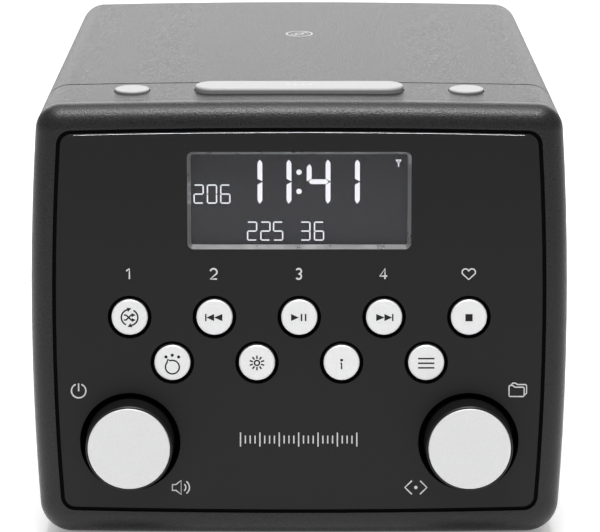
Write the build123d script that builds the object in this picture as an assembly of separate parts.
from build123d import *
import os
from math import cos, radians, sin, sqrt, tan

# Tabletop clock radio with a top-loading disc player.
# Row frame: +X to the right seen from the front, +Y to the rear, +Z up, origin under the middle of the
# whole object at the height of the feet. Millimetres.
# Front pieces are drawn upright in the face frame: X across, Y depth behind the face, Z up the face,
# with its origin at the datum point of the face. FACE then leans them back and puts them in place.

# ---- casing ----
BODY_WIDTH = 170.2        # across the front at its widest
BODY_DEPTH = 180.0        # from the face datum to the rear wall, level
FACE_ABOVE = 68.9         # casing above the face datum, along the face
FACE_BELOW = 70.95        # casing below the face datum, along the face
FACE_LEAN = 4.15          # degrees that the face leans back
SIDE_TAPER = 1.65         # degrees that each side closes in towards the rear
WALL = 2.5                # moulded wall of the casing
CORNER = 8.2              # upper corners of the casing seen from the front
BASE_CORNER = 10.5        # lower corners
SIDE_BOW = 2.7            # how far the sides swell outwards
END_BOW = 1.0             # how far the top swells outwards
BASE_BOW = 0.5            # how far the underside swells outwards
REAR_ROUND = 4.0          # rounding of the rear edges
BEZEL_DEPTH = 10.5        # face to the parting line behind the bezel
BEZEL_ROUND = 7.0         # rounding of the front edge
BEZEL_BAND = 7.05         # width of the bezel at the sides
BEZEL_BAND_TOP = 7.45     # width of the bezel above the panel
BEZEL_BAND_BASE = 7.85    # width of the bezel below the panel
COVER_DEPTH = 12.0        # depth of the rear cover
SEAM = 0.2                # parting line between mouldings
FIT = 0.2                 # clearance of a moulding inside another
TONGUE = 4.0              # tongue of the bezel inside the cabinet
TONGUE_THICK = 3.0

# ---- front panel ----
GROOVE = 1.2              # gap round the inset panel
PANEL_THICK = 2.5
PANEL_CORNER = 3.5
PANEL_BOW = 2.2           # how far the sides of the panel swell outwards
PANEL_ROUND = 0.15        # rounding of the panel's front edge
PANEL_LEDGE = 2.4         # ledge of the bezel that the panel sits on
LEDGE_REACH = 2.8         # how far the ledge reaches under the panel

# ---- display ----
DISPLAY_WIDTH = 70.4      # opening at the face
DISPLAY_TOP = 53.8
DISPLAY_BOTTOM = 22.7
DISPLAY_CORNER = 2.0
DISPLAY_BEVEL = 1.2       # width of the bevel of the surround
DISPLAY_RECESS = 2.4      # depth of the bevel of the surround
WINDOW_THICK = 1.2
GLASS_THICK = 2.2
SURROUND_RIM = 1.2        # rim of the surround behind the panel opening
SURROUND_BACK = 1.6       # thickness of that rim

# ---- keys ----
KEY_RADIUS = 5.66
KEY_PROUD = 0.3
KEY_TRAVEL = 0.8
KEY_SINK_RADIUS = 6.93    # ring sunk round each key
KEY_SINK_DEPTH = 2.2
KEY_GUIDE = 5.0           # depth of the guide boss behind each key
KEY_FLANGE = 1.0
KEY_STEM_RADIUS = 2.5
KEY_CLEAR = 0.1           # running clearance of a key in its guide
KEY_SPACING = 26.8
UPPER_ROW = 0.9           # height of the row of five on the face
LOWER_ROW = -13.8         # height of the row of four
UPPER_KEYS = 5
LOWER_KEYS = 4

# ---- knobs ----
KNOB_SPACING = 107.6
KNOB_HEIGHT = -39.7       # height of the knob axes on the face
KNOB_RADIUS = 14.1
KNOB_PROUD = 9.0          # black body in front of the face
KNOB_SKIRT = 3.4          # black body behind the face
KNOB_WALL = 2.0
KNOB_TOP = 2.4            # thickness of the knob's front wall
KNOB_HUB = 6.0
KNOB_DRAFT = 0.4          # how much the front of the knob is smaller
FACE_DISC_RADIUS = 13.0
FACE_DISC_THICK = 1.4
FACE_DISC_SUNK = 0.9      # how deep the disc sits in the knob
DISH_RADIUS = 16.0
DISH_DEPTH = 5.0
DISH_WALL = 1.6
KNOB_TRAVEL = 0.7
SHAFT_RADIUS = 3.0
SHAFT_CLEAR = 0.05
BUSH_RADIUS = 3.9
ENCODER_SIZE = 13.0

# ---- boards behind the face ----
BOARD_FRONT = 15.0        # depth of the control board behind the face
BOARD_THICK = 1.6
BOARD_HALF_WIDTH = 68.0
BOARD_TOP = 50.0
BOARD_BOTTOM = -56.0
KEYPAD_THICK = 1.2
KEYPAD_DOME_RADIUS = 4.0
KEYPAD_DOME = 2.3
POST_RADIUS = 3.0
SCREW_RADIUS = 1.4
SCREW_HEAD_RADIUS = 2.8
SCREW_HEAD = 1.8
SCREW_GRIP = 8.0

# ---- top buttons ----
BUTTON_BACK = 29.7        # face datum to the middle of the button row, level
BUTTON_RADIUS = 5.5
BUTTON_SPACING = 106.6
BUTTON_PROUD = 0.8
SNOOZE_LENGTH = 66.5
SNOOZE_WIDTH = 12.0
SNOOZE_PROUD = 1.6
BUTTON_TRAVEL = 1.0
BUTTON_CLEAR = 0.3
BUTTON_FLANGE = 1.2
BUTTON_LIP = 1.2          # how far a flange reaches beyond its hole
TOP_BOARD_DROP = 12.0     # top of the casing to the switch board
TOP_BOARD_HALF = 62.0
TOP_BOARD_WIDTH = 14.0
SWITCH_SIZE = 6.0
SWITCH_HEIGHT = 4.0

# ---- lid and hinge ----
LID_SEAM = 40.2           # face datum to the front edge of the lid, level
LID_DROP = 14.0           # height of the lid
LID_GAP = 0.5             # under the lid
LID_FRONT_GAP = 0.9       # in front of the lid
LID_WALL = 2.3
LINER = 3.4
BARREL_RADIUS = 3.0
LUG_RADIUS = 2.7
HINGE_CLEAR = 0.4
HINGE_SPACING = 90.0
LUG_WIDTH = 7.0
HINGE_PIN_RADIUS = 1.1
HINGE_PIN_CLEAR = 0.05
HINGE_PIN_LENGTH = 20.0
LATCH_X = 58.0
LATCH_BACK = 14.0         # lid seam to the striker
STRIKER_WIDTH = 5.0
STRIKER_THICK = 3.0
STRIKER_REACH = 5.0       # below the deck
LATCH_CLEAR = 0.5

# ---- disc player ----
DISC_RADIUS = 60.0
WELL_CLEAR = 2.5
WELL_DEPTH = 7.5
WELL_WALL = 2.0
DECK_THICK = 2.5
POCKET_RADIUS = 11.0      # finger pockets at the sides of the well
DISC_DROP = 4.5           # deck to the plane of the disc
HUB_RADIUS = 7.3
HUB_HEIGHT = 3.0
TURNTABLE_RADIUS = 14.0
TURNTABLE_THICK = 2.4
SPINDLE_RADIUS = 1.0
SPINDLE_CLEAR = 0.05
SPINDLE_MOTOR_RADIUS = 12.2
SPINDLE_MOTOR_HEIGHT = 12.0
CHASSIS_DROP = 13.0       # deck to the top of the chassis
CHASSIS_THICK = 1.6
CHASSIS_HALF_WIDTH = 42.0
CHASSIS_FRONT = 76.0      # spindle to the front edge
CHASSIS_REAR = 32.0
LENS_START = 23.0         # spindle to the lens at rest
SLED_TRAVEL = DISC_RADIUS - 25.0
SLED_HALF_WIDTH = 14.0
SLED_BEHIND = 8.0         # lens to the rear end of the sled
SLED_AHEAD = 12.0
SLED_DROP = 11.0          # deck to the top of the sled
SLED_HEIGHT = 14.0
LENS_HOUSING = 4.5
LENS_RISE = 2.5           # lens housing above the sled
ROD_DROP = 21.5           # deck to the axes of the rods and the screw
ROD_X = 19.0
ROD_RADIUS = 1.5
ROD_CLEAR = 0.05
SCREW_X = -27.0
RAIL_BLOCK = 4.0          # thickness of the carriers under the chassis
CARRIER_HALF = 3.5
LEAD_RADIUS = 1.5
LEAD_CLEAR = 0.08
SLED_MOTOR_RADIUS = 6.5
SLED_MOTOR_LENGTH = 12.0
DAMPER_X = 36.0
DAMPER_EDGE = 16.5        # edge of the well to the front dampers
DAMPER_REAR = 26.0
DAMPER_RADIUS = 4.5
DAMPER_NECK = 3.0
DAMPER_BORE = 1.6
DAMPER_FLANGE = 2.0

# ---- speakers ----
SPEAKER_BACK = 95.0       # face datum to the speaker axes, level
SPEAKER_HEIGHT = 60.0     # above the feet
SPEAKER_RADIUS = 33.0
SPEAKER_PLANE_GAP = 3.5   # inside of the wall to the speaker's flange
CONE_RADIUS = 28.5
CONE_DEPTH = 10.0
CONE_THICK = 0.9
CONE_SEAT = 2.2           # face of the basket to the seat of the cone's rim
DUST_CAP_RADIUS = 9.0
BASKET_DEPTH = 17.0
MAGNET_RADIUS = 20.0
MAGNET_DEPTH = 11.0
GRILLE_RADIUS = 29.0
GRILLE_SLOT = 2.4
GRILLE_PITCH = 5.0

# ---- electronics at the bottom and the rear ----
FOOT_HEIGHT = 2.5
FOOT_RADIUS = 7.0
FOOT_SEAT = 1.6           # how far a foot reaches into the floor
FOOT_X = 62.0
FOOT_FRONT = 24.0         # face datum to the front feet, level
FOOT_REAR = 21.0          # rear wall to the rear feet
MAIN_BOARD_RISE = 6.0     # floor to the board
MAIN_BOARD_HALF = 60.0
MAIN_BOARD_FRONT = 45.0   # face datum to its front edge, level
JACK_DEPTH = 13.0
JACK_WIDTH = 10.0
JACK_HEIGHT = 11.0
POWER_X = -40.0
HEADPHONE_X = 40.0
POWER_BORE = 3.2
HEADPHONE_BORE = 1.8
JACK_BORE_DEPTH = 10.0
JACK_COLLAR = 4.2
COVER_SCREW_HEIGHTS = [20.0, 104.0]
COVER_BOSS_RADIUS = 4.0
COVER_BOSS_INSET = 3.2    # boss axis inside the inner wall
COVER_BOSS_LENGTH = 18.0

# ---- aerial ----
AERIAL_X = 62.0
AERIAL_HEIGHT = 112.0
AERIAL_OUT = 5.5          # rear wall to the aerial's axis
KNUCKLE_RADIUS = 5.0
KNUCKLE_SLOT = 3.4
KNUCKLE_BASE = 3.0        # solid part of the knuckle
BLADE_THICK = 3.0         # blade of the aerial in the knuckle
BLADE_LENGTH = 7.5
AERIAL_TUBE_RADIUS = 3.0
AERIAL_MIDDLE_RADIUS = 2.2
AERIAL_TIP_RADIUS = 1.4
AERIAL_CLEAR = 0.1
AERIAL_LENGTH = 118.0
AERIAL_KNOB = 5.0
AERIAL_PIN_RADIUS = 1.0

# ---- places worked out from the sizes above ----
LEAN_COS = cos(radians(FACE_LEAN))
LEAN_SIN = sin(radians(FACE_LEAN))
AERIAL_REACH = AERIAL_OUT + KNUCKLE_RADIUS - 1.5
KNOB_FRONT = KNOB_PROUD + FACE_DISC_THICK - FACE_DISC_SUNK
FRONT_REACH = KNOB_FRONT * LEAN_COS + (FACE_DISC_RADIUS - KNOB_HEIGHT) * LEAN_SIN
FACE_Y = -(BODY_DEPTH + AERIAL_REACH - FRONT_REACH) / 2
FACE_Z = FOOT_HEIGHT + FACE_BELOW * LEAN_COS + BEZEL_DEPTH * LEAN_SIN
REAR_Y = FACE_Y + BODY_DEPTH
TOP_Z = FACE_Z + FACE_ABOVE * LEAN_COS - BEZEL_DEPTH * LEAN_SIN
HALF_FRONT = BODY_WIDTH / 2
HALF_REAR = HALF_FRONT - (BODY_DEPTH - BEZEL_DEPTH) * tan(radians(SIDE_TAPER))
FACE = Location((0, FACE_Y, FACE_Z), (-FACE_LEAN, 0, 0))
SEAM_Y = FACE_Y + LID_SEAM
DECK_Z = TOP_Z - LID_DROP
LID_Z = DECK_Z + LID_GAP
HINGE_Y = REAR_Y - BARREL_RADIUS
SPINDLE_Y = (SEAM_Y + REAR_Y) / 2
WELL_RADIUS = DISC_RADIUS + WELL_CLEAR
DAMPER_FRONT = WELL_RADIUS - DAMPER_EDGE
FLOOR_TOP = FOOT_HEIGHT + WALL
WELL_FLOOR = DECK_Z - WELL_DEPTH
DISC_Z = DECK_Z - DISC_DROP
CHASSIS_Z = DECK_Z - CHASSIS_DROP
ROD_Z = DECK_Z - ROD_DROP
LENS_Y = SPINDLE_Y - LENS_START
PANEL_TOP = FACE_ABOVE - BEZEL_BAND_TOP - GROOVE
PANEL_BOTTOM = -FACE_BELOW + BEZEL_BAND_BASE + GROOVE
PANEL_HALF = HALF_FRONT - BEZEL_BAND - GROOVE
KNOB_PLACES = {"left": -KNOB_SPACING / 2, "right": KNOB_SPACING / 2}
KEY_BACK = KEY_GUIDE + FIT + KEY_FLANGE
KEYPAD_FRONT = BOARD_FRONT - KEYPAD_THICK
STEM_END = KEYPAD_FRONT - KEYPAD_DOME - KEY_TRAVEL - KEY_CLEAR
BOARD_POSTS = [(-64, 44), (64, 44), (-24, -50), (24, -50)]
MAIN_BOARD_REAR = REAR_Y - WALL - JACK_DEPTH + 6
MAIN_POSTS = [(sx * (MAIN_BOARD_HALF - 6), y) for sx in (-1, 1)
              for y in (FACE_Y + MAIN_BOARD_FRONT + 8, MAIN_BOARD_REAR - 6)]
BOARD_Z = FLOOR_TOP + MAIN_BOARD_RISE
JACK_Z = BOARD_Z + BOARD_THICK + JACK_HEIGHT / 2
BIG = 400.0


def block(x0, x1, y0, y1, z0, z1):
    """Box between two corners."""
    centre = Pos((x0 + x1) / 2, (y0 + y1) / 2, (z0 + z1) / 2)
    return centre * Box(x1 - x0, y1 - y0, z1 - z0)


def rod_x(radius, x0, x1, y, z):
    """Cylinder along X."""
    return Pos((x0 + x1) / 2, y, z) * Rot(0, 90, 0) * Cylinder(radius, x1 - x0)


def rod_y(radius, y0, y1, x, z):
    """Cylinder along Y."""
    return Pos(x, (y0 + y1) / 2, z) * Rot(90, 0, 0) * Cylinder(radius, y1 - y0)


def rod_z(radius, z0, z1, x, y):
    """Cylinder along Z."""
    return Pos(x, y, (z0 + z1) / 2) * Cylinder(radius, z1 - z0)


def ring_y(outer, inner, y0, y1, x, z):
    """Tube along Y."""
    return rod_y(outer, y0, y1, x, z) - rod_y(inner, y0 - 1, y1 + 1, x, z)


def outline(half_width, top, bottom, corners, side_bow, top_bow, base_bow):
    """Rectangle with swelling sides, X across and Y up; corners are the upper and lower radius."""
    middle = (top + bottom) / 2
    side = half_width - side_bow
    left_top = (-side, top - top_bow)
    right_top = (side, top - top_bow)
    right_bottom = (side, bottom + base_bow)
    left_bottom = (-side, bottom + base_bow)
    rim = Curve() + [
        ThreePointArc(left_top, (0, top), right_top),
        ThreePointArc(right_top, (half_width, middle), right_bottom),
        ThreePointArc(right_bottom, (0, bottom), left_bottom),
        ThreePointArc(left_bottom, (-half_width, middle), left_top),
    ]
    upper, lower = corners
    face = make_face(rim)
    face = fillet(face.vertices().group_by(Axis.Y)[-1], upper)
    return fillet(face.vertices().group_by(Axis.Y)[0], lower)


def slab(shape, front, back):
    """Extrude an outline from one depth behind the face to another."""
    return extrude(Plane.XZ.offset(-front) * shape, -(back - front))


def face_outline(inset):
    """Outline of the casing at the face, drawn in by an inset."""
    return outline(HALF_FRONT - inset, FACE_ABOVE - inset, inset - FACE_BELOW,
                   (CORNER - inset, BASE_CORNER - inset), SIDE_BOW, END_BOW, BASE_BOW)


def rear_outline(inset):
    """Outline of the casing at the rear wall, drawn in by an inset."""
    return outline(HALF_REAR - inset, TOP_Z - inset, FOOT_HEIGHT + inset,
                   (CORNER - inset, BASE_CORNER - inset), SIDE_BOW, END_BOW, BASE_BOW)


def panel_outline(grow, corner):
    """Outline of the front panel, grown by a margin."""
    return outline(PANEL_HALF + grow, PANEL_TOP + grow, PANEL_BOTTOM - grow,
                   (corner, corner), PANEL_BOW, END_BOW, END_BOW)


def casing(inset, front_depth, rear_y):
    """Solid form of the casing behind the bezel, drawn in by an inset."""
    level = (front_depth - BEZEL_DEPTH) * tan(radians(FACE_LEAN))
    front = FACE * (Plane.XZ.offset(-front_depth) * Pos(0, level) * face_outline(inset))
    rear = Plane((0, rear_y, 0), x_dir=(1, 0, 0), z_dir=(0, -1, 0)) * rear_outline(inset)
    return loft([front, rear], ruled=True)


def casing_rounded():
    """Casing behind the bezel with its rear edges rounded."""
    form = casing(0, BEZEL_DEPTH + SEAM, REAR_Y)
    return fillet(form.faces().sort_by(Axis.Y)[-1].edges(), REAR_ROUND)


def lid_space(front_gap, under_gap):
    """Everything that the lid takes up, less a gap before it and a gap under it."""
    return block(-BIG, BIG, SEAM_Y + front_gap, REAR_Y + BIG, DECK_Z + under_gap, TOP_Z + BIG)


# ---- bezel and panel ----
def front_bezel():
    ring = slab(face_outline(0), 0, BEZEL_DEPTH)
    front = ring.faces().sort_by(Axis.Y)[0]
    ring = fillet(front.edges(), BEZEL_ROUND)
    ring -= slab(panel_outline(GROOVE, PANEL_CORNER + GROOVE), -1, PANEL_THICK)
    ring -= slab(panel_outline(-LEDGE_REACH, PANEL_CORNER), PANEL_THICK - 1, BEZEL_DEPTH + 1)
    hollow = face_outline(WALL + FIT + WALL)
    ring -= slab(hollow, PANEL_THICK + PANEL_LEDGE, BEZEL_DEPTH + 1)
    root = BEZEL_DEPTH - 1
    inner_inset = WALL + FIT + TONGUE_THICK
    tongue = casing(WALL + FIT, root, REAR_Y) - casing(inner_inset, root - 1, REAR_Y)
    tongue &= FACE * block(-BIG, BIG, -BIG, BEZEL_DEPTH + TONGUE, -BIG, BIG)
    return FACE * ring + tongue


def key_places():
    """Centres of the nine keys on the face, upper row first, left to right."""
    places = []
    for count, height in ((UPPER_KEYS, UPPER_ROW), (LOWER_KEYS, LOWER_ROW)):
        for i in range(count):
            places.append(((i - (count - 1) / 2) * KEY_SPACING, height))
    return places


def display_shape(margin):
    """Rounded rectangle of the display opening, grown by a margin."""
    width = DISPLAY_WIDTH + 2 * margin
    height = DISPLAY_TOP - DISPLAY_BOTTOM + 2 * margin
    centre = (DISPLAY_TOP + DISPLAY_BOTTOM) / 2
    return Pos(0, centre) * RectangleRounded(width, height, max(DISPLAY_CORNER + margin, 0.5))


def front_panel():
    plate = slab(panel_outline(0, PANEL_CORNER), 0, PANEL_THICK)
    plate = fillet(plate.faces().sort_by(Axis.Y)[0].edges(), PANEL_ROUND)
    for x, z in key_places():
        plate += rod_y(KEY_SINK_RADIUS + 1.5, 0, KEY_GUIDE, x, z)
    for x in KNOB_PLACES.values():
        plate += rod_y(DISH_RADIUS + DISH_WALL, 0, DISH_DEPTH + DISH_WALL, x, KNOB_HEIGHT)
    for x, z in BOARD_POSTS:
        plate += rod_y(POST_RADIUS, 0.5, BOARD_FRONT, x, z)
    for x, z in key_places():
        plate -= rod_y(KEY_SINK_RADIUS, -1, KEY_SINK_DEPTH, x, z)
        plate -= rod_y(KEY_RADIUS + KEY_CLEAR, -1, KEY_GUIDE + 1, x, z)
    for x in KNOB_PLACES.values():
        plate -= rod_y(DISH_RADIUS, -1, DISH_DEPTH, x, KNOB_HEIGHT)
        plate -= rod_y(BUSH_RADIUS + FIT, 0, DISH_DEPTH + DISH_WALL + 1, x, KNOB_HEIGHT)
    for x, z in BOARD_POSTS:
        plate -= rod_y(SCREW_RADIUS, BOARD_FRONT - SCREW_GRIP, BOARD_FRONT + 1, x, z)
    plate -= slab(display_shape(0), -1, PANEL_THICK + 1)
    return FACE * plate


def display_surround():
    """Bevelled frame set in the panel opening, with a rim behind the panel."""
    back = PANEL_THICK + SURROUND_BACK
    frame = slab(display_shape(-0.05), 0, PANEL_THICK)
    frame += slab(display_shape(SURROUND_RIM), PANEL_THICK, back)
    mouth = Plane.XZ.offset(1) * display_shape(0.4)
    throat = Plane.XZ.offset(-DISPLAY_RECESS - 0.1) * display_shape(-DISPLAY_BEVEL)
    frame -= loft([mouth, throat], ruled=True)
    frame -= slab(display_shape(-0.5), DISPLAY_RECESS, back + 1)
    return FACE * frame


def display_window():
    return FACE * slab(display_shape(-0.55), WINDOW_BACK - WINDOW_THICK, WINDOW_BACK)


WINDOW_BACK = DISPLAY_RECESS + 0.05 + WINDOW_THICK


def display_glass():
    glass = slab(display_shape(-0.8), WINDOW_BACK, WINDOW_BACK + GLASS_THICK)
    return FACE * glass


def display_backlight():
    box = slab(display_shape(-1.5), WINDOW_BACK + GLASS_THICK, BOARD_FRONT)
    return FACE * box


# ---- keys and knobs ----
def key(place):
    x, z = place
    body = rod_y(KEY_RADIUS, -KEY_PROUD, KEY_GUIDE + FIT, x, z)
    body = chamfer(body.faces().sort_by(Axis.Y)[0].edges(), 0.35)
    body += rod_y(KEY_SINK_RADIUS + 0.4, KEY_GUIDE + FIT, KEY_BACK, x, z)
    body += rod_y(KEY_STEM_RADIUS, KEY_BACK, STEM_END, x, z)
    return FACE * body


def keypad():
    half = (UPPER_KEYS - 1) / 2 * KEY_SPACING + KEY_SINK_RADIUS + 1
    sheet = block(-half, half, KEYPAD_FRONT, BOARD_FRONT, LOWER_ROW - 9, UPPER_ROW + 9)
    for x, z in key_places():
        sheet += rod_y(KEYPAD_DOME_RADIUS, KEYPAD_FRONT - KEYPAD_DOME, KEYPAD_FRONT, x, z)
    return FACE * sheet


def control_board():
    board = block(-BOARD_HALF_WIDTH, BOARD_HALF_WIDTH, BOARD_FRONT, BOARD_FRONT + BOARD_THICK,
                  BOARD_BOTTOM, BOARD_TOP)
    for x, z in BOARD_POSTS:
        board -= rod_y(SCREW_RADIUS + FIT, BOARD_FRONT - 1, BOARD_FRONT + BOARD_THICK + 1, x, z)
    return FACE * board


def knob(x):
    """Black body: drafted cup with a hub on the shaft and a recess for the pale disc."""
    length = KNOB_PROUD + KNOB_SKIRT
    front = -KNOB_PROUD
    place = Pos(x, 0, KNOB_HEIGHT)
    profile = make_face(Polyline(
        (0, front + FACE_DISC_SUNK),
        (FACE_DISC_RADIUS + 0.1, front + FACE_DISC_SUNK),
        (FACE_DISC_RADIUS + 0.1, front),
        (KNOB_RADIUS - KNOB_DRAFT - 0.3, front),
        (KNOB_RADIUS - KNOB_DRAFT, front + 0.3),
        (KNOB_RADIUS, front + length),
        (KNOB_RADIUS - KNOB_WALL, front + length),
        (KNOB_RADIUS - KNOB_WALL, front + KNOB_TOP + FACE_DISC_SUNK),
        (KNOB_HUB, front + KNOB_TOP + FACE_DISC_SUNK),
        (KNOB_HUB, front + length),
        (0, front + length),
        close=True))
    body = revolve(profile, Axis.Y)
    body -= rod_y(SHAFT_RADIUS, front + KNOB_TOP + FACE_DISC_SUNK, front + length + 1, 0, 0)
    return FACE * (place * body)


def knob_face(x):
    """Pale disc in the front of the knob."""
    back = FACE_DISC_SUNK - KNOB_PROUD
    disc = rod_y(FACE_DISC_RADIUS, back - FACE_DISC_THICK, back, 0, 0)
    disc = fillet(disc.faces().sort_by(Axis.Y)[0].edges(), 0.5)
    return FACE * (Pos(x, 0, KNOB_HEIGHT) * disc)


SHAFT_FRONT = KNOB_TOP + FACE_DISC_SUNK - KNOB_PROUD
SHAFT_BACK = DISH_DEPTH + DISH_WALL + 3.5


def knob_shaft(x):
    return FACE * rod_y(SHAFT_RADIUS, SHAFT_FRONT, SHAFT_BACK, x, KNOB_HEIGHT)


def encoder(x):
    """Encoder body on the board with a bush through the panel, bored for the shaft."""
    half = ENCODER_SIZE / 2
    front = DISH_DEPTH + DISH_WALL
    body = block(x - half, x + half, front, BOARD_FRONT, KNOB_HEIGHT - half, KNOB_HEIGHT + half)
    body += rod_y(BUSH_RADIUS, DISH_DEPTH - 0.5, front, x, KNOB_HEIGHT)
    body -= rod_y(SHAFT_RADIUS + SHAFT_CLEAR, 0, BOARD_FRONT - 1, x, KNOB_HEIGHT)
    return FACE * body


def encoder_plunger(x):
    """Switch plunger that the end of the shaft pushes."""
    return FACE * rod_y(SHAFT_RADIUS, SHAFT_BACK + 0.02, BOARD_FRONT - 2, x, KNOB_HEIGHT)


# ---- top buttons ----
BUTTON_Y = FACE_Y + BUTTON_BACK
BUTTON_PLACES = {"left": -BUTTON_SPACING / 2, "right": BUTTON_SPACING / 2}
BAND_UNDER = TOP_Z - WALL - END_BOW
SWITCH_TOP = TOP_Z - TOP_BOARD_DROP + SWITCH_HEIGHT
SNOOZE_STEM_X = SNOOZE_LENGTH / 2 - 12


def stadium(length, width, z0, z1):
    """Upright bar with round ends in the button row."""
    bar = Plane((0, BUTTON_Y, z0)) * SlotOverall(length, width)
    return extrude(bar, z1 - z0)


def button_local_top(x):
    """Height of the swelling top surface at a distance from the middle."""
    half = HALF_FRONT - SIDE_BOW
    return TOP_Z - END_BOW * (x / half) ** 2


def alarm_button(x):
    top = button_local_top(x) + BUTTON_PROUD
    under = button_local_top(x) - WALL - FIT - 0.2
    body = rod_z(BUTTON_RADIUS, under, top, x, BUTTON_Y)
    body = fillet(body.faces().sort_by(Axis.Z)[-1].edges(), 0.5)
    body += rod_z(BUTTON_RADIUS + BUTTON_LIP, under - BUTTON_FLANGE, under, x, BUTTON_Y)
    stem_end = SWITCH_TOP + BUTTON_TRAVEL + FIT
    if stem_end < under - BUTTON_FLANGE:
        body += rod_z(BUTTON_RADIUS / 2, stem_end, under - BUTTON_FLANGE, x, BUTTON_Y)
    return body


def snooze_bar():
    under = BAND_UNDER - FIT + END_BOW - 0.3
    body = stadium(SNOOZE_LENGTH, SNOOZE_WIDTH, under, TOP_Z + SNOOZE_PROUD)
    body = fillet(body.faces().sort_by(Axis.Z)[-1].edges(), 0.8)
    body += stadium(SNOOZE_LENGTH + 2 * BUTTON_LIP, SNOOZE_WIDTH + 2 * BUTTON_LIP,
                    under - BUTTON_FLANGE, under)
    stem_end = SWITCH_TOP + BUTTON_TRAVEL + FIT
    for sx in (-1, 1):
        body += rod_z(BUTTON_RADIUS / 2, stem_end, under - BUTTON_FLANGE, sx * SNOOZE_STEM_X, BUTTON_Y)
    return body


def top_board_posts():
    x = (SNOOZE_LENGTH / 2 + BUTTON_SPACING / 2 - BUTTON_RADIUS) / 2
    return [-x, x]


def top_switch_board():
    """Board under the button row with its four push switches."""
    top = TOP_Z - TOP_BOARD_DROP
    half = TOP_BOARD_WIDTH / 2
    board = block(-TOP_BOARD_HALF, TOP_BOARD_HALF, BUTTON_Y - half, BUTTON_Y + half,
                  top - BOARD_THICK, top)
    for x in list(BUTTON_PLACES.values()) + [-SNOOZE_STEM_X, SNOOZE_STEM_X]:
        size = SWITCH_SIZE / 2
        board += block(x - size, x + size, BUTTON_Y - size, BUTTON_Y + size, top, SWITCH_TOP)
    return board


# ---- cabinet, rear cover, lid ----
def inner_half(y):
    """Half the inner width of the casing at a place along its depth."""
    share = (y - FACE_Y - BEZEL_DEPTH) / (BODY_DEPTH - BEZEL_DEPTH)
    return HALF_FRONT + share * (HALF_REAR - HALF_FRONT) - WALL


SPEAKER_Y = FACE_Y + SPEAKER_BACK
SPEAKER_PLANE = inner_half(SPEAKER_Y) - SPEAKER_PLANE_GAP


def grille_slots(side):
    """Upright slots in a circle over one speaker."""
    slots = []
    count = int(GRILLE_RADIUS // GRILLE_PITCH)
    for i in range(-count, count + 1):
        offset = i * GRILLE_PITCH
        half = sqrt(GRILLE_RADIUS ** 2 - offset ** 2)
        y = SPEAKER_Y + offset
        inner, outer = sorted((side * (SPEAKER_PLANE + 1), side * (HALF_FRONT + 5)))
        slots.append(block(inner, outer, y - GRILLE_SLOT / 2, y + GRILLE_SLOT / 2,
                           SPEAKER_HEIGHT - half, SPEAKER_HEIGHT + half))
    return slots


def foot_places():
    return [(sx * FOOT_X, y) for sx in (-1, 1) for y in (FACE_Y + FOOT_FRONT, REAR_Y - FOOT_REAR)]


def cover_boss_x(y):
    return inner_half(y) - COVER_BOSS_INSET


def cover_screws():
    x = cover_boss_x(REAR_Y - COVER_DEPTH)
    return [(sx * x, z) for sx in (-1, 1) for z in COVER_SCREW_HEIGHTS]


def cabinet():
    parting = REAR_Y - COVER_DEPTH - SEAM
    inside = casing(WALL, BEZEL_DEPTH - 5, REAR_Y + 5)
    shell = casing_rounded() - inside
    shell -= block(-BIG, BIG, parting, REAR_Y + BIG, -BIG, BIG)
    shell -= lid_space(0, 0)
    flange = block(-BIG, BIG, SEAM_Y - WALL, SEAM_Y, DECK_Z - DECK_THICK, TOP_Z)
    shell += flange & casing(WALL / 2, BEZEL_DEPTH, REAR_Y)
    for x in top_board_posts():
        shell += rod_z(POST_RADIUS, TOP_Z - TOP_BOARD_DROP, TOP_Z - WALL / 2, x, BUTTON_Y)
    for side in (-1, 1):
        x0, x1 = sorted((side * SPEAKER_PLANE, side * (SPEAKER_PLANE + SPEAKER_PLANE_GAP + 1)))
        ring = rod_x(SPEAKER_RADIUS, x0, x1, SPEAKER_Y, SPEAKER_HEIGHT)
        ring -= rod_x(GRILLE_RADIUS + 0.5, x0 - 1, x1 + 1, SPEAKER_Y, SPEAKER_HEIGHT)
        shell += ring
        shell -= grille_slots(side)
    for x, y in MAIN_POSTS:
        shell += rod_z(POST_RADIUS, FLOOR_TOP - 1, BOARD_Z, x, y)
        shell -= rod_z(SCREW_RADIUS, FLOOR_TOP, BOARD_Z + 1, x, y)
    for x, z in cover_screws():
        boss = rod_y(COVER_BOSS_RADIUS, parting - COVER_BOSS_LENGTH, parting, x, z)
        shell += boss
        shell -= rod_y(SCREW_RADIUS, parting - COVER_BOSS_LENGTH + 2, parting + 1, x, z)
    for x, y in foot_places():
        shell -= rod_z(FOOT_RADIUS, -1, FOOT_HEIGHT + FOOT_SEAT, x, y)
    for x in BUTTON_PLACES.values():
        shell -= rod_z(BUTTON_RADIUS + BUTTON_CLEAR, TOP_Z - 8, TOP_Z + 1, x, BUTTON_Y)
    shell -= stadium(SNOOZE_LENGTH + 2 * BUTTON_CLEAR, SNOOZE_WIDTH + 2 * BUTTON_CLEAR,
                     TOP_Z - 8, TOP_Z + 1)
    return shell


def hinge_relief():
    """Room that the hinge barrel and the tail of the lid sweep."""
    reach = BARREL_RADIUS + HINGE_CLEAR
    room = rod_x(reach, -BIG, BIG, HINGE_Y, LID_Z)
    return room + block(-BIG, BIG, HINGE_Y - HINGE_CLEAR, REAR_Y + BIG, LID_Z - reach, TOP_Z + BIG)


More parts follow.
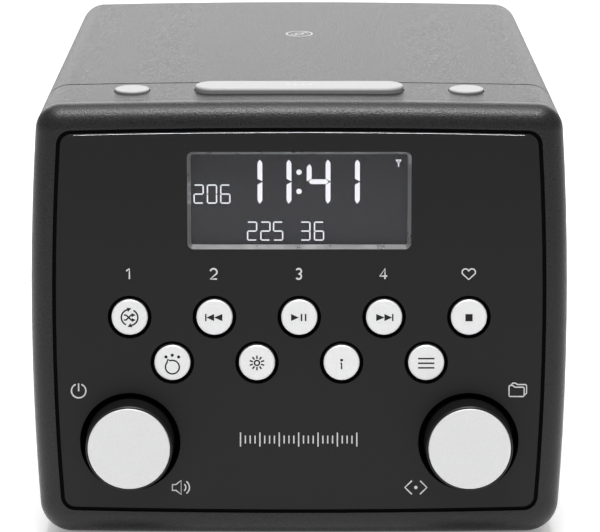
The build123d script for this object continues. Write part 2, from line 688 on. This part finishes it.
def rear_cover():
    parting = REAR_Y - COVER_DEPTH
    shell = casing_rounded() - casing(WALL, BEZEL_DEPTH - 5, REAR_Y - WALL)
    shell -= block(-BIG, BIG, -BIG, parting, -BIG, BIG)
    shell -= lid_space(0, 0)
    shell -= hinge_relief()
    for x, z in cover_screws():
        shell += rod_y(COVER_BOSS_RADIUS, parting, REAR_Y - 1, x, z)
    for x, z in cover_screws():
        shell -= rod_y(SCREW_RADIUS + FIT, parting - 1, REAR_Y + 1, x, z)
        shell -= rod_y(SCREW_HEAD_RADIUS + FIT, REAR_Y - 5, REAR_Y + 1, x, z)
    for x in (POWER_X, HEADPHONE_X):
        shell -= rod_y(JACK_COLLAR + FIT, REAR_Y - WALL - 1, REAR_Y + 1, x, JACK_Z)
    shell += rod_y(KNUCKLE_RADIUS + 2, REAR_Y - 1, REAR_Y + 1.2, AERIAL_X, AERIAL_HEIGHT)
    return shell


def hinge_stations():
    return [-HINGE_SPACING / 2, HINGE_SPACING / 2]


def cd_lid():
    shell = casing_rounded() & lid_space(LID_FRONT_GAP, LID_GAP)
    shell -= casing(LID_WALL, BEZEL_DEPTH - 5, REAR_Y - LID_WALL)
    front_y = SEAM_Y + LID_FRONT_GAP
    front = block(-BIG, BIG, front_y, front_y + LID_WALL, LID_Z, TOP_Z)
    shell += front & casing(LID_WALL / 2, BEZEL_DEPTH, REAR_Y)
    barrel = rod_x(BARREL_RADIUS, -HALF_FRONT, HALF_FRONT, HINGE_Y, LID_Z)
    shell += barrel & casing(0.05, BEZEL_DEPTH, REAR_Y)
    reach = BARREL_RADIUS + HINGE_CLEAR
    for x in hinge_stations():
        half = LUG_WIDTH / 2 + HINGE_CLEAR
        shell -= block(x - half, x + half, HINGE_Y - reach, REAR_Y + 1, LID_Z - reach, LID_Z + reach)
        pin_half = HINGE_PIN_LENGTH / 2 + 0.5
        shell -= rod_x(HINGE_PIN_RADIUS + HINGE_PIN_CLEAR, x - pin_half, x + pin_half, HINGE_Y, LID_Z)
    return shell


def lid_liner():
    """Inner moulding under the lid with a disc guard ring and the latch striker."""
    front = SEAM_Y + LID_FRONT_GAP + LID_WALL + FIT
    rear = REAR_Y - LID_WALL - FIT - REAR_ROUND
    under = TOP_Z - LID_WALL - END_BOW - LINER
    body = casing(LID_WALL + 0.1, BEZEL_DEPTH, REAR_Y) & block(-BIG, BIG, front, rear, under, TOP_Z)
    ring = rod_z(HUB_RADIUS + 12, under - 1.5, under, 0, SPINDLE_Y)
    ring -= rod_z(HUB_RADIUS + 10, under - 2, under + 1, 0, SPINDLE_Y)
    body += ring
    y = SEAM_Y + LATCH_BACK
    half = STRIKER_WIDTH / 2
    body += block(LATCH_X - half, LATCH_X + half, y - STRIKER_THICK / 2, y + STRIKER_THICK / 2,
                  DECK_Z - STRIKER_REACH, under + 0.5)
    return body


def lid_hinge_pins():
    half = HINGE_PIN_LENGTH / 2
    pins = [rod_x(HINGE_PIN_RADIUS, x - half, x + half, HINGE_Y, LID_Z) for x in hinge_stations()]
    return Compound(pins)


LATCH_HALF_X = STRIKER_WIDTH / 2 + LATCH_CLEAR
LATCH_HALF_Y = STRIKER_THICK / 2 + LATCH_CLEAR


def lid_latch():
    """Push latch under the deck that grips the striker."""
    y = SEAM_Y + LATCH_BACK
    top = DECK_Z - DECK_THICK
    bottom = DECK_Z - STRIKER_REACH - 4
    body = block(LATCH_X - LATCH_HALF_X - 2, LATCH_X + LATCH_HALF_X + 2,
                 y - LATCH_HALF_Y - 2, y + LATCH_HALF_Y + 2, bottom, top)
    body -= block(LATCH_X - LATCH_HALF_X, LATCH_X + LATCH_HALF_X,
                  y - LATCH_HALF_Y, y + LATCH_HALF_Y, bottom + 2, top + 1)
    return body


# ---- disc player ----
def damper_places():
    return [(sx * DAMPER_X, y) for sx in (-1, 1)
            for y in (SPINDLE_Y - DAMPER_FRONT, SPINDLE_Y + DAMPER_REAR)]


def cd_deck():
    """Deck under the lid: plate, round well, finger pockets, hinge lugs, chassis posts."""
    under = WELL_FLOOR - DECK_THICK
    rear = HINGE_Y - BARREL_RADIUS - HINGE_CLEAR - 0.4
    plate = casing(WALL + FIT, BEZEL_DEPTH, REAR_Y)
    plate &= block(-BIG, BIG, SEAM_Y + FIT, rear, DECK_Z - DECK_THICK, DECK_Z)
    plate += rod_z(WELL_RADIUS + WELL_WALL, under, DECK_Z, 0, SPINDLE_Y) \
        & block(-BIG, BIG, SEAM_Y + FIT, rear, -BIG, BIG)
    for sx in (-1, 1):
        x = sx * (WELL_RADIUS - 2)
        plate += rod_z(POCKET_RADIUS + WELL_WALL, under, DECK_Z, x, SPINDLE_Y)
    plate -= rod_z(WELL_RADIUS, WELL_FLOOR, DECK_Z + 1, 0, SPINDLE_Y)
    for sx in (-1, 1):
        x = sx * (WELL_RADIUS - 2)
        plate -= rod_z(POCKET_RADIUS, WELL_FLOOR, DECK_Z + 1, x, SPINDLE_Y)
    plate -= rod_z(TURNTABLE_RADIUS + 2, under - 1, DECK_Z, 0, SPINDLE_Y)
    slot_end = LENS_START + SLED_TRAVEL + LENS_HOUSING + 1
    slot_half = LENS_HOUSING + 2
    plate -= block(-slot_half, slot_half, SPINDLE_Y - slot_end, SPINDLE_Y, under - 1, WELL_FLOOR)
    y = SEAM_Y + LATCH_BACK
    plate -= block(LATCH_X - LATCH_HALF_X, LATCH_X + LATCH_HALF_X,
                   y - LATCH_HALF_Y, y + LATCH_HALF_Y, DECK_Z - DECK_THICK - 1, DECK_Z + 1)
    for x in hinge_stations():
        half = LUG_WIDTH / 2
        lug = rod_x(LUG_RADIUS, x - half, x + half, HINGE_Y, LID_Z)
        lug += block(x - half, x + half, rear - 3, HINGE_Y, DECK_Z - DECK_THICK, LID_Z)
        plate += lug - rod_x(HINGE_PIN_RADIUS, x - half - 1, x + half + 1, HINGE_Y, LID_Z)
    for x, py in damper_places():
        plate += rod_z(DAMPER_NECK, CHASSIS_Z + DAMPER_FLANGE, under + 0.5, x, py)
        plate += rod_z(DAMPER_BORE, CHASSIS_Z - CHASSIS_THICK - DAMPER_FLANGE, CHASSIS_Z + 3, x, py)
    return plate


def rod_span():
    """Fronts of the front and the rear carriers."""
    return SPINDLE_Y - CHASSIS_FRONT + 1, SPINDLE_Y - LENS_START + SLED_BEHIND + 1


def rod_blocks():
    """Carriers under the chassis: two ends for each guide rod and one end for the screw."""
    low = ROD_Z - CARRIER_HALF
    top = CHASSIS_Z - CHASSIS_THICK
    blocks = []
    for x in (-ROD_X, ROD_X, SCREW_X):
        for y in rod_span():
            blocks.append(block(x - CARRIER_HALF, x + CARRIER_HALF, y, y + RAIL_BLOCK, low, top))
    return blocks


def cd_chassis():
    low = CHASSIS_Z - CHASSIS_THICK
    plate = block(-CHASSIS_HALF_WIDTH, CHASSIS_HALF_WIDTH, SPINDLE_Y - CHASSIS_FRONT,
                  SPINDLE_Y + CHASSIS_REAR, low, CHASSIS_Z)
    plate -= block(-SLED_HALF_WIDTH - 1.5, SLED_HALF_WIDTH + 1.5,
                   SPINDLE_Y - CHASSIS_FRONT + 5, SPINDLE_Y - LENS_START + SLED_BEHIND + 1, low - 1,
                   CHASSIS_Z + 1)
    plate -= rod_z(3, low - 1, CHASSIS_Z + 1, 0, SPINDLE_Y)
    for piece in rod_blocks():
        plate += piece
    front, rear = rod_span()
    for sx in (-1, 1):
        plate -= rod_y(ROD_RADIUS, front + 1, rear + RAIL_BLOCK - 1, sx * ROD_X, ROD_Z)
    plate -= rod_y(LEAD_RADIUS + LEAD_CLEAR, front + 1, rear + RAIL_BLOCK + 1, SCREW_X, ROD_Z)
    for x, y in damper_places():
        plate -= rod_z(DAMPER_NECK, low - 1, CHASSIS_Z + 1, x, y)
    return plate


def chassis_dampers():
    """Rubber grommets that carry the chassis on the deck's posts."""
    low = CHASSIS_Z - CHASSIS_THICK
    dampers = []
    for x, y in damper_places():
        body = rod_z(DAMPER_RADIUS, low - DAMPER_FLANGE, low, x, y)
        body += rod_z(DAMPER_NECK, low, CHASSIS_Z, x, y)
        body += rod_z(DAMPER_RADIUS, CHASSIS_Z, CHASSIS_Z + DAMPER_FLANGE, x, y)
        body -= rod_z(DAMPER_BORE, low - DAMPER_FLANGE - 1, CHASSIS_Z + DAMPER_FLANGE + 1, x, y)
        dampers.append(body)
    return Compound(dampers)


def guide_rods():
    front, rear = rod_span()
    back = rear + RAIL_BLOCK - 1
    return Compound([rod_y(ROD_RADIUS, front + 1, back, sx * ROD_X, ROD_Z) for sx in (-1, 1)])


def lead_screw():
    """Screw that drives the sled, with a collar at the motor end."""
    front, rear = rod_span()
    screw = rod_y(LEAD_RADIUS, front + 1.2, rear + RAIL_BLOCK + 6, SCREW_X, ROD_Z)
    for i in range(int((rear - front - 6) // 3)):
        y = front + 5.5 + 3 * i
        screw -= ring_y(LEAD_RADIUS + 1, LEAD_RADIUS - 0.3, y, y + 0.8, SCREW_X, ROD_Z)
    return screw


def sled_motor():
    rear = rod_span()[1] + RAIL_BLOCK
    body = rod_y(SLED_MOTOR_RADIUS, rear, rear + SLED_MOTOR_LENGTH, SCREW_X, ROD_Z)
    return body - rod_y(LEAD_RADIUS + LEAD_CLEAR, rear - 1, rear + 7, SCREW_X, ROD_Z)


def spindle_motor():
    top = CHASSIS_Z - CHASSIS_THICK
    body = rod_z(SPINDLE_MOTOR_RADIUS, top - SPINDLE_MOTOR_HEIGHT, top, 0, SPINDLE_Y)
    body += rod_z(2.8, top, CHASSIS_Z + 0.5, 0, SPINDLE_Y)
    return body - rod_z(SPINDLE_RADIUS + SPINDLE_CLEAR, top - 8, top + 5, 0, SPINDLE_Y)


def turntable():
    """Turntable with its hub and spindle."""
    body = rod_z(TURNTABLE_RADIUS, DISC_Z - TURNTABLE_THICK, DISC_Z, 0, SPINDLE_Y)
    hub = rod_z(HUB_RADIUS, DISC_Z, DISC_Z + HUB_HEIGHT, 0, SPINDLE_Y)
    hub = chamfer(hub.faces().sort_by(Axis.Z)[-1].edges(), 1.2)
    body += hub
    body += rod_z(4, CHASSIS_Z + 1, DISC_Z - TURNTABLE_THICK, 0, SPINDLE_Y)
    body += rod_z(SPINDLE_RADIUS, CHASSIS_Z - CHASSIS_THICK - 7.5, CHASSIS_Z + 1, 0, SPINDLE_Y)
    for angle in (0, 120, 240):
        ball = Pos(0, SPINDLE_Y, 0) * Rot(0, 0, angle) * Pos(HUB_RADIUS - 0.8, 0, DISC_Z + 1.4)
        body += ball * Sphere(1.2)
    return body


def pickup_sled():
    top = DECK_Z - SLED_DROP
    body = block(-SLED_HALF_WIDTH, SLED_HALF_WIDTH, LENS_Y - SLED_AHEAD, LENS_Y + SLED_BEHIND,
                 top - SLED_HEIGHT, top)
    arm_low = ROD_Z - 2.8
    arm_high = ROD_Z + 2.8
    body += block(SLED_HALF_WIDTH - 1, ROD_X + 3, LENS_Y - 6, LENS_Y + 6, arm_low, arm_high)
    body += block(SCREW_X - 3, 1 - SLED_HALF_WIDTH, LENS_Y - 6, LENS_Y + 6, arm_low, arm_high)
    body += rod_z(LENS_HOUSING, top - 1, top + LENS_RISE, 0, LENS_Y)
    for sx in (-1, 1):
        body -= rod_y(ROD_RADIUS + ROD_CLEAR, LENS_Y - 20, LENS_Y + 20, sx * ROD_X, ROD_Z)
    return body - rod_y(LEAD_RADIUS + LEAD_CLEAR, LENS_Y - 20, LENS_Y + 20, SCREW_X, ROD_Z)


def pickup_lens():
    top = DECK_Z - SLED_DROP + LENS_RISE
    lens = rod_z(3, top, top + 1.0, 0, LENS_Y)
    return fillet(lens.faces().sort_by(Axis.Z)[-1].edges(), 0.7)


# ---- speakers ----
def speaker(side):
    """Basket, flange and magnet, drawn facing +X and turned to its side."""
    face = SPEAKER_PLANE
    back = face - BASKET_DEPTH
    profile = make_face(Polyline(
        (face, CONE_RADIUS),
        (face, SPEAKER_RADIUS),
        (face - 2, SPEAKER_RADIUS),
        (face - 4, CONE_RADIUS + 1),
        (back, MAGNET_RADIUS),
        (back - MAGNET_DEPTH, MAGNET_RADIUS),
        (back - MAGNET_DEPTH, 0),
        (back + 1.5, 0),
        (back + 1.5, MAGNET_RADIUS - 2),
        (face - CONE_SEAT, CONE_RADIUS - 2),
        (face - CONE_SEAT, CONE_RADIUS),
        close=True))
    body = Pos(0, SPEAKER_Y, SPEAKER_HEIGHT) * revolve(profile, Axis.X)
    return body if side > 0 else mirror(body, Plane.YZ)


def speaker_cone(side):
    """Paper cone with its dust cap."""
    face = SPEAKER_PLANE
    deep = face - CONE_DEPTH
    rim = CONE_RADIUS - 0.3
    seat = face - CONE_SEAT
    profile = make_face(Polyline(
        (seat + CONE_THICK, rim),
        (seat + CONE_THICK, rim - 3),
        (deep, DUST_CAP_RADIUS),
        (deep + 3, 0),
        (deep + 3 - CONE_THICK, 0),
        (deep - CONE_THICK, DUST_CAP_RADIUS),
        (seat, rim - 3),
        (seat, rim),
        close=True))
    body = Pos(0, SPEAKER_Y, SPEAKER_HEIGHT) * revolve(profile, Axis.X)
    return body if side > 0 else mirror(body, Plane.YZ)


# ---- boards, jacks, feet, screws ----
def main_board():
    """Board with its amplifier heat sink and two filter capacitors."""
    y0 = FACE_Y + MAIN_BOARD_FRONT
    top = BOARD_Z + BOARD_THICK
    board = block(-MAIN_BOARD_HALF, MAIN_BOARD_HALF, y0, MAIN_BOARD_REAR, BOARD_Z, top)
    for i in range(5):
        x = -12 + 6 * i
        board += block(x - 1, x + 1, y0 + 30, y0 + 52, top, top + 16)
    board += block(-14, 14, y0 + 30, y0 + 52, top, top + 3)
    for x in (-30, 30):
        board += rod_z(6, top, top + 14, x, y0 + 80)
    for x, y in MAIN_POSTS:
        board -= rod_z(SCREW_RADIUS + FIT, BOARD_Z - 1, top + 1, x, y)
    return board


def jack(x, bore):
    """Socket at the rear edge of the main board, facing the rear."""
    half = JACK_WIDTH / 2
    back = REAR_Y - WALL - FIT
    front = back - JACK_DEPTH
    body = block(x - half, x + half, front, back, BOARD_Z + BOARD_THICK, JACK_Z + JACK_HEIGHT / 2)
    body += rod_y(JACK_COLLAR, back, REAR_Y - 0.5, x, JACK_Z)
    return body - rod_y(bore, REAR_Y - 0.5 - JACK_BORE_DEPTH, REAR_Y, x, JACK_Z)


def feet():
    return Compound([rod_z(FOOT_RADIUS, 0, FOOT_HEIGHT + FOOT_SEAT, x, y) for x, y in foot_places()])


def screw_along(y_head, length, x, z):
    """Screw along Y with its head at the rear."""
    body = rod_y(SCREW_RADIUS, y_head - length, y_head, x, z)
    return body + rod_y(SCREW_HEAD_RADIUS, y_head, y_head + SCREW_HEAD, x, z)


def screws():
    """Screws of the rear cover, the control board and the main board."""
    pieces = [screw_along(REAR_Y - 5, 18, x, z) for x, z in cover_screws()]
    behind = BOARD_FRONT + BOARD_THICK
    pieces += [FACE * screw_along(behind, BOARD_THICK + SCREW_GRIP - 1, x, z) for x, z in BOARD_POSTS]
    top = BOARD_Z + BOARD_THICK
    for x, y in MAIN_POSTS:
        body = rod_z(SCREW_RADIUS, FLOOR_TOP + 0.5, top, x, y)
        pieces.append(body + rod_z(SCREW_HEAD_RADIUS, top, top + SCREW_HEAD, x, y))
    return Compound(pieces)


# ---- aerial, folded along the rear wall ----
AERIAL_Y = REAR_Y + AERIAL_OUT
AERIAL_END = AERIAL_X - AERIAL_LENGTH


def aerial_knuckle():
    """Forked knuckle that turns on the rear cover, with the pin of the tilt hinge."""
    y0 = REAR_Y + 1.2 + 0.1
    y1 = AERIAL_Y + KNUCKLE_RADIUS - 1.5
    body = rod_y(KNUCKLE_RADIUS, y0, y1, AERIAL_X, AERIAL_HEIGHT)
    half = KNUCKLE_SLOT / 2
    body -= block(AERIAL_X - 10, AERIAL_X + BLADE_THICK, AERIAL_Y - 2.6, y1 + 1,
                  AERIAL_HEIGHT - half, AERIAL_HEIGHT + half)
    reach = sqrt(KNUCKLE_RADIUS ** 2 - 1) - 0.5
    return body + rod_z(AERIAL_PIN_RADIUS, AERIAL_HEIGHT - reach, AERIAL_HEIGHT + reach,
                        AERIAL_X, AERIAL_Y)


def aerial_tube():
    """Outer tube with the flat tongue that fits the knuckle."""
    half = BLADE_THICK / 2
    start = AERIAL_X - BLADE_LENGTH
    body = rod_x(AERIAL_TUBE_RADIUS, AERIAL_END, start, AERIAL_Y, AERIAL_HEIGHT)
    body += block(start - 3, AERIAL_X, AERIAL_Y - 2, AERIAL_Y + 2, AERIAL_HEIGHT - half,
                  AERIAL_HEIGHT + half)
    body += rod_z(2, AERIAL_HEIGHT - half, AERIAL_HEIGHT + half, AERIAL_X, AERIAL_Y)
    body -= rod_z(AERIAL_PIN_RADIUS + 0.05, AERIAL_HEIGHT - 9, AERIAL_HEIGHT + 9, AERIAL_X, AERIAL_Y)
    return body - rod_x(AERIAL_MIDDLE_RADIUS + AERIAL_CLEAR, AERIAL_END - 1, start - 6, AERIAL_Y,
                        AERIAL_HEIGHT)


def aerial_middle():
    """Middle tube, stowed inside the outer one."""
    start = AERIAL_X - BLADE_LENGTH - 8
    body = rod_x(AERIAL_MIDDLE_RADIUS, AERIAL_END - 2, start, AERIAL_Y, AERIAL_HEIGHT)
    return body - rod_x(AERIAL_TIP_RADIUS + AERIAL_CLEAR, AERIAL_END - 3, start - 3, AERIAL_Y,
                        AERIAL_HEIGHT)


def aerial_tip():
    """Thin tip rod with its end cap."""
    start = AERIAL_X - BLADE_LENGTH - 12
    end = AERIAL_END - 2.3
    body = rod_x(AERIAL_TIP_RADIUS, end, start, AERIAL_Y, AERIAL_HEIGHT)
    return body + rod_x(AERIAL_TUBE_RADIUS, end - AERIAL_KNOB, end, AERIAL_Y, AERIAL_HEIGHT)


def nodes():
    """Every node of the radio with its shape."""
    yield "front_bezel", front_bezel()
    yield "front_panel", front_panel()
    yield "display_surround", display_surround()
    yield "display_window", display_window()
    yield "display_glass", display_glass()
    yield "display_backlight", display_backlight()
    for number, place in enumerate(key_places(), 1):
        yield f"key_{number}", key(place)
    yield "keypad", keypad()
    yield "control_board", control_board()
    for side, x in KNOB_PLACES.items():
        yield f"knob_{side}", knob(x)
        yield f"knob_{side}_face", knob_face(x)
        yield f"knob_{side}_shaft", knob_shaft(x)
        yield f"encoder_{side}", encoder(x)
        yield f"encoder_{side}_plunger", encoder_plunger(x)
    for side, x in BUTTON_PLACES.items():
        yield f"alarm_button_{side}", alarm_button(x)
    yield "snooze_bar", snooze_bar()
    yield "top_switch_board", top_switch_board()
    yield "cabinet", cabinet()
    yield "rear_cover", rear_cover()
    yield "cd_lid", cd_lid()
    yield "lid_liner", lid_liner()
    yield "lid_hinge_pins", lid_hinge_pins()
    yield "lid_latch", lid_latch()
    yield "cd_deck", cd_deck()
    yield "cd_chassis", cd_chassis()
    yield "chassis_dampers", chassis_dampers()
    yield "guide_rods", guide_rods()
    yield "lead_screw", lead_screw()
    yield "sled_motor", sled_motor()
    yield "spindle_motor", spindle_motor()
    yield "turntable", turntable()
    yield "pickup_sled", pickup_sled()
    yield "pickup_lens", pickup_lens()
    for side, sign in (("left", -1), ("right", 1)):
        yield f"speaker_{side}", speaker(sign)
        yield f"speaker_{side}_cone", speaker_cone(sign)
    yield "main_board", main_board()
    yield "power_jack", jack(POWER_X, POWER_BORE)
    yield "headphone_jack", jack(HEADPHONE_X, HEADPHONE_BORE)
    yield "feet", feet()
    yield "screws", screws()
    yield "aerial_knuckle", aerial_knuckle()
    yield "aerial_tube", aerial_tube()
    yield "aerial_middle", aerial_middle()
    yield "aerial_tip", aerial_tip()


os.makedirs("parts", exist_ok=True)
for name, shape in nodes():
    export_step(shape, f"parts/{name}.step")
